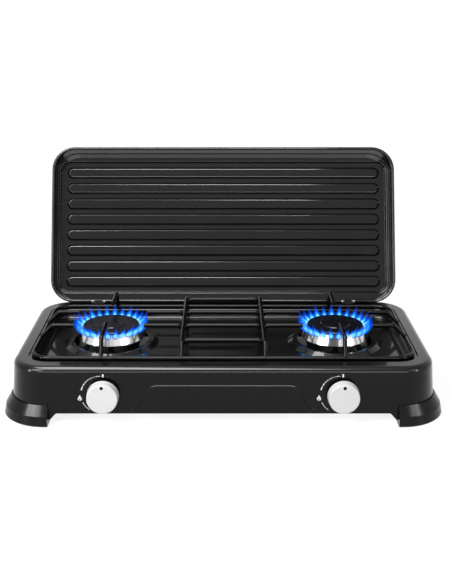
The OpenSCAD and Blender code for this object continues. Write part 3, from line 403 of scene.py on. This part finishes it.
# Tap springs as wound coils, which shorten when a knob is pushed in
SPRING_TURNS, SPRING_WIRE_R = 4.5, 0.5
SPRING_STEPS, SPRING_SEGMENTS = 108, 8
for side_name, s in SIDES:
    low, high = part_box(f"tap_spring_{side_name}")
    middle = (low + high) / 2
    run = high.y - low.y
    wire_r = SPRING_WIRE_R * MM
    coil_r = (high.x - low.x) / 2 - wire_r
    bm = bmesh.new()
    rings = []
    for i in range(SPRING_STEPS + 1):
        t = i / SPRING_STEPS
        turn = 2 * math.pi * SPRING_TURNS * t
        out = ALONG_X * math.cos(turn) + ALONG_Z * math.sin(turn)
        centre = Vector((middle.x, low.y + wire_r + (run - 2 * wire_r) * t, middle.z)) + out * coil_r
        rings.append(circle(bm, centre, out, ALONG_Y, wire_r, SPRING_SEGMENTS))
    skin(bm, rings)
    coil = piece(f"spring_coil_{side_name}", bm, mat_zinc, f"valve_{side_name}")
    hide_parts(f"tap_spring_{side_name}")
    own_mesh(coil)


# Flames: at each slot of the flame rings a pale core in a deep blue veil
def flame_material(name, colours, strength, clear):
    s = Shader(name, Base_Color=(0, 0, 0, 1), Roughness=1.0, Specular_IOR_Level=0.0,
               Emission_Strength=strength)
    along = s.add("ShaderNodeAttribute", attribute_name="along").outputs["Fac"]
    s.link(s.ramp(along, colours), "Emission Color")
    s.link(s.ramp(along, [(at, grey(level)) for at, level in clear]), "Alpha")
    return s.mat


mat_core = flame_material("flame_core", [
    (0.0, (0.45, 0.95, 1.0)), (0.4, (0.14, 0.68, 1.0)),
    (0.75, (0.02, 0.26, 1.0)), (1.0, (0.0, 0.10, 1.0))],
    2.0, [(0.0, 1.0), (0.5, 0.85), (1.0, 0.2)])
mat_veil = flame_material("flame_veil", [
    (0.0, (0.0, 0.26, 1.0)), (0.4, (0.0, 0.13, 1.0)), (1.0, (0.0, 0.03, 0.75))],
    1.0, [(0.0, 0.3), (0.3, 0.48), (0.6, 0.34), (1.0, 0.0)])
FLAME_COUNT = 26
FLAME_RINGS, FLAME_SEGMENTS = 12, 10
# Root of a tongue below the ring's top and out of the ring
FLAME_ROOT_DOWN, FLAME_ROOT_OUT = 2, 0.2
# Powers that bend a tongue out and up and draw its tip in, and how much the tongues differ
FLAME_OUT, FLAME_UP, FLAME_TIP, FLAME_TIP_END = 1.7, 1.35, 2.2, 0.9
FLAME_SWAY, FLAME_SWAY_STEP = 0.09, 2.4
# Share of its width at the root, and where along its length a tongue stops swelling
FLAME_ROOT_W, FLAME_SWELL_END, FLAME_LEAST_HALF = 0.6, 0.6, 0.02


def add_flame(bm, layer, cx, angle, reach, lift, width):
    """A tongue that leaves its slot outwards and bends up to a tip."""
    out = Vector((math.cos(angle), math.sin(angle), 0))
    across = Vector((-math.sin(angle), math.cos(angle), 0))
    root = Vector((cx, 0, RING_TOP_Z - FLAME_ROOT_DOWN)) + out * (RING_TOP_R + FLAME_ROOT_OUT)
    line = []
    for i in range(FLAME_RINGS + 1):
        t = i / FLAME_RINGS
        line.append(root + out * reach * (1 - (1 - t) ** FLAME_OUT) + ALONG_Z * lift * t ** FLAME_UP)
    rings = []
    for i, centre in enumerate(line):
        t = i / FLAME_RINGS
        ahead = (line[min(i + 1, FLAME_RINGS)] - line[max(i - 1, 0)]).normalized()
        top_way = ahead.cross(across).normalized()
        swell = FLAME_ROOT_W + (1 - FLAME_ROOT_W) * math.sin(math.pi * min(1, t / FLAME_SWELL_END))
        half = max(width / 2 * swell * (1 - t ** FLAME_TIP) ** FLAME_TIP_END, FLAME_LEAST_HALF)
        ring = circle(bm, centre * MM, across, top_way, half * MM, FLAME_SEGMENTS)
        for v in ring:
            v[layer] = t
        rings.append(ring)
    skin(bm, rings)


# Name, material, and reach, lift and width of one tongue
FLAME_LAYERS = (("flames", mat_veil, 11.5, 18.0, 10.5), ("flame_cores", mat_core, 8.0, 10.5, 5.6))
for side_name, s in SIDES:
    for layer_name, material, reach, lift, width in FLAME_LAYERS:
        bm = bmesh.new()
        layer = bm.verts.layers.float.new("along")
        for i in range(FLAME_COUNT):
            sway = 1 + FLAME_SWAY * math.sin(i * FLAME_SWAY_STEP + s)
            angle = 2 * math.pi * (i + 0.5) / FLAME_COUNT
            add_flame(bm, layer, s * BURNER_X, angle, reach * sway, lift * sway, width)
        flames = piece(f"{layer_name}_{side_name}", bm, material, "hob")
        for polygon in flames.data.polygons:
            polygon.use_smooth = True
        flames.visible_shadow = False

# Soft edges on the moulded feet
FOOT_EDGE, FOOT_EDGE_STEPS, FOOT_EDGE_FROM = 1.6, 3, math.radians(20)
for name in FEET:
    bevel = nodes[name].modifiers.new("soft_edge", "BEVEL")
    bevel.width = FOOT_EDGE * MM
    bevel.segments = FOOT_EDGE_STEPS
    bevel.limit_method = "ANGLE"
    bevel.angle_limit = FOOT_EDGE_FROM
    bevel.harden_normals = True

# Smooth shading on the round faces of the solids
SHARP_FROM = math.radians(30)
for node in nodes.values():
    for polygon in node.data.polygons:
        polygon.use_smooth = True
    node.data.set_sharp_from_angle(angle=SHARP_FROM)


# Floor, light and camera
FLOOR_HALF, FLOOR_BACK = 6, 2
FLOOR_TONE, FLOOR_GLOW = 0.3, 0.86
WORLD_LIGHT, WORLD_SEEN = 0.45, 1.0
# Painted shadow: the part of the floor whose glow fades out under and just behind the object, along x and
# y:
# middle, half width and soft edge
PAINTED_SHADOW = (("X", 0.0, 0.235, 0.05), ("Y", 0.0675, 0.1025, 0.07))


def seen_level(tree, low, high):
    """Strength that is high for camera, glossy and transmission rays, and low for the rest."""
    path = add_node(tree, "ShaderNodeLightPath")
    seen = path.outputs["Is Camera Ray"]
    for kind in ("Is Glossy Ray", "Is Transmission Ray"):
        seen = math_node(tree, "MAXIMUM", seen, path.outputs[kind])
    inputs = {"Value": seen, "To Min": low, "To Max": high}
    return add_node(tree, "ShaderNodeMapRange", inputs).outputs["Result"]


def out_of_painted_shadow(tree):
    """1 on the open floor, falling to 0 under the object: a painted shadow in the floor's glow."""
    place = add_node(tree, "ShaderNodeNewGeometry").outputs["Position"]
    split = add_node(tree, "ShaderNodeSeparateXYZ", {"Vector": place})
    squares = []
    for axis, middle, half, soft in PAINTED_SHADOW:
        off = math_node(tree, "ABSOLUTE", math_node(tree, "SUBTRACT", split.outputs[axis], middle))
        over = math_node(tree, "MAXIMUM", math_node(tree, "SUBTRACT", off, half), 0.0)
        squares.append(math_node(tree, "POWER", math_node(tree, "DIVIDE", over, soft), 2.0))
    away = math_node(tree, "SQRT", math_node(tree, "ADD", *squares))
    level = add_node(tree, "ShaderNodeMapRange", {"Value": away}, interpolation_type="SMOOTHSTEP")
    return level.outputs["Result"]


def stage_material(name):
    mat = bpy.data.materials.new(name)
    mat.use_nodes = True
    tree = mat.node_tree
    tree.nodes.clear()
    strength = math_node(tree, "MULTIPLY", seen_level(tree, 0.0, FLOOR_GLOW), out_of_painted_shadow(tree))
    diffuse = add_node(tree, "ShaderNodeBsdfDiffuse", {"Color": (*grey(FLOOR_TONE), 1)})
    glow = add_node(tree, "ShaderNodeEmission", {"Strength": strength})
    both = add_node(tree, "ShaderNodeAddShader", {0: diffuse.outputs[0], 1: glow.outputs[0]})
    add_node(tree, "ShaderNodeOutputMaterial", {"Surface": both.outputs[0]})
    return mat


bm = bmesh.new()
bmesh.ops.create_grid(bm, x_segments=2, y_segments=2, size=FLOOR_HALF)
mesh = bpy.data.meshes.new("floor")
bm.to_mesh(mesh)
bm.free()
floor = bpy.data.objects.new("floor", mesh)
floor.location = (0, FLOOR_BACK, 0)
bpy.context.scene.collection.objects.link(floor)
mesh.materials.append(stage_material("floor_pale"))

world = bpy.data.worlds.new("studio")
bpy.context.scene.world = world
world.use_nodes = True
background = world.node_tree.nodes["Background"]
level = seen_level(world.node_tree, WORLD_LIGHT, WORLD_SEEN)
world.node_tree.links.new(level, background.inputs["Strength"])
background.inputs["Color"].default_value = (1, 1, 1, 1)


def softbox(name, place, target, size, power, shine_only=False, on=()):
    """A soft lamp, for highlights only if shine_only, and only on the named nodes if there are any."""
    light = bpy.data.lights.new(name, "AREA")
    light.shape = "RECTANGLE"
    light.size, light.size_y = size
    light.energy = power
    obj = bpy.data.objects.new(name, light)
    obj.location = place
    obj.rotation_euler = (Vector(target) - Vector(place)).to_track_quat("-Z", "Y").to_euler()
    obj.visible_camera = False
    obj.visible_diffuse = not shine_only
    if on:
        group = bpy.data.collections.new(name)
        for node_name in on:
            group.objects.link(nodes[node_name])
        obj.light_linking.receiver_collection = group
    bpy.context.scene.collection.objects.link(obj)


# Each lamp: name, place, target, size, power, whether it only shines, and the nodes that it reaches
softbox("softbox_key", (-1.3, -1.5, 1.5), (0, 0, 0.1), (1.0, 1.0), 52)
softbox("softbox_fill", (1.5, -1.3, 1.1), (0, 0, 0.1), (0.8, 1.0), 6)
LID = ("lid_shell",)
BODY = ("hob_body",)
softbox("strip_ribs", (-0.5, -1.6, 2.3), (0, 0.16, 0.19), (2.0, 0.6), 230, True, LID)
softbox("strip_top", (-0.45, -0.05, 2.4), (0, 0.16, 0.19), (1.9, 1.0), 40, True, LID)
softbox("strip_collars", (-0.45, -0.3, 2.4), (0, 0, 0.07), (1.9, 0.8), 130, True, BODY + CAPS)
softbox("strip_foot_left", (-1.75, -1.3, 1.55), (-0.25, 0, 0.02), (0.9, 0.5), 44, True, FEET)
softbox("strip_foot_right", (1.75, -1.3, 1.55), (0.25, 0, 0.02), (0.9, 0.5), 28, True, FEET)
softbox("strip_body", (-0.4, -1.1, 2.2), (0, 0, 0.07), (1.8, 0.45), 60, True, BODY)
softbox("strip_wire", (-0.4, -0.6, 2.2), (0, 0, 0.09), (2.0, 1.5), 170, True, ("pan_support",))
softbox("strip_edge", (0, -2.2, 0.58), (0, 0, 0.07), (2.6, 0.26), 40, True)
softbox("strip_left", (-1.7, -1.1, 0.5), (-0.2, 0, 0.06), (0.25, 1.0), 24, True)
softbox("strip_right", (1.7, -1.1, 0.5), (0.2, 0, 0.06), (0.25, 1.0), 13, True)

CAMERA_PLACE = (0, -1.256, 0.5349)
CAMERA_PITCH = math.radians(17.72)
FOCAL_PX, FRAME_H_PX, SHIFT_PX = 950, 584, 2.8
SENSOR_W = 36
camera_data = bpy.data.cameras.new("camera")
camera_data.sensor_width = SENSOR_W
camera_data.lens = FOCAL_PX / FRAME_H_PX * SENSOR_W
camera_data.shift_x = SHIFT_PX / FRAME_H_PX
camera = bpy.data.objects.new("camera", camera_data)
camera.location = CAMERA_PLACE
camera.rotation_euler = (math.pi / 2 - CAMERA_PITCH, 0, 0)
bpy.context.scene.collection.objects.link(camera)
bpy.context.scene.camera = camera
bpy.context.scene.view_settings.view_transform = "Standard"
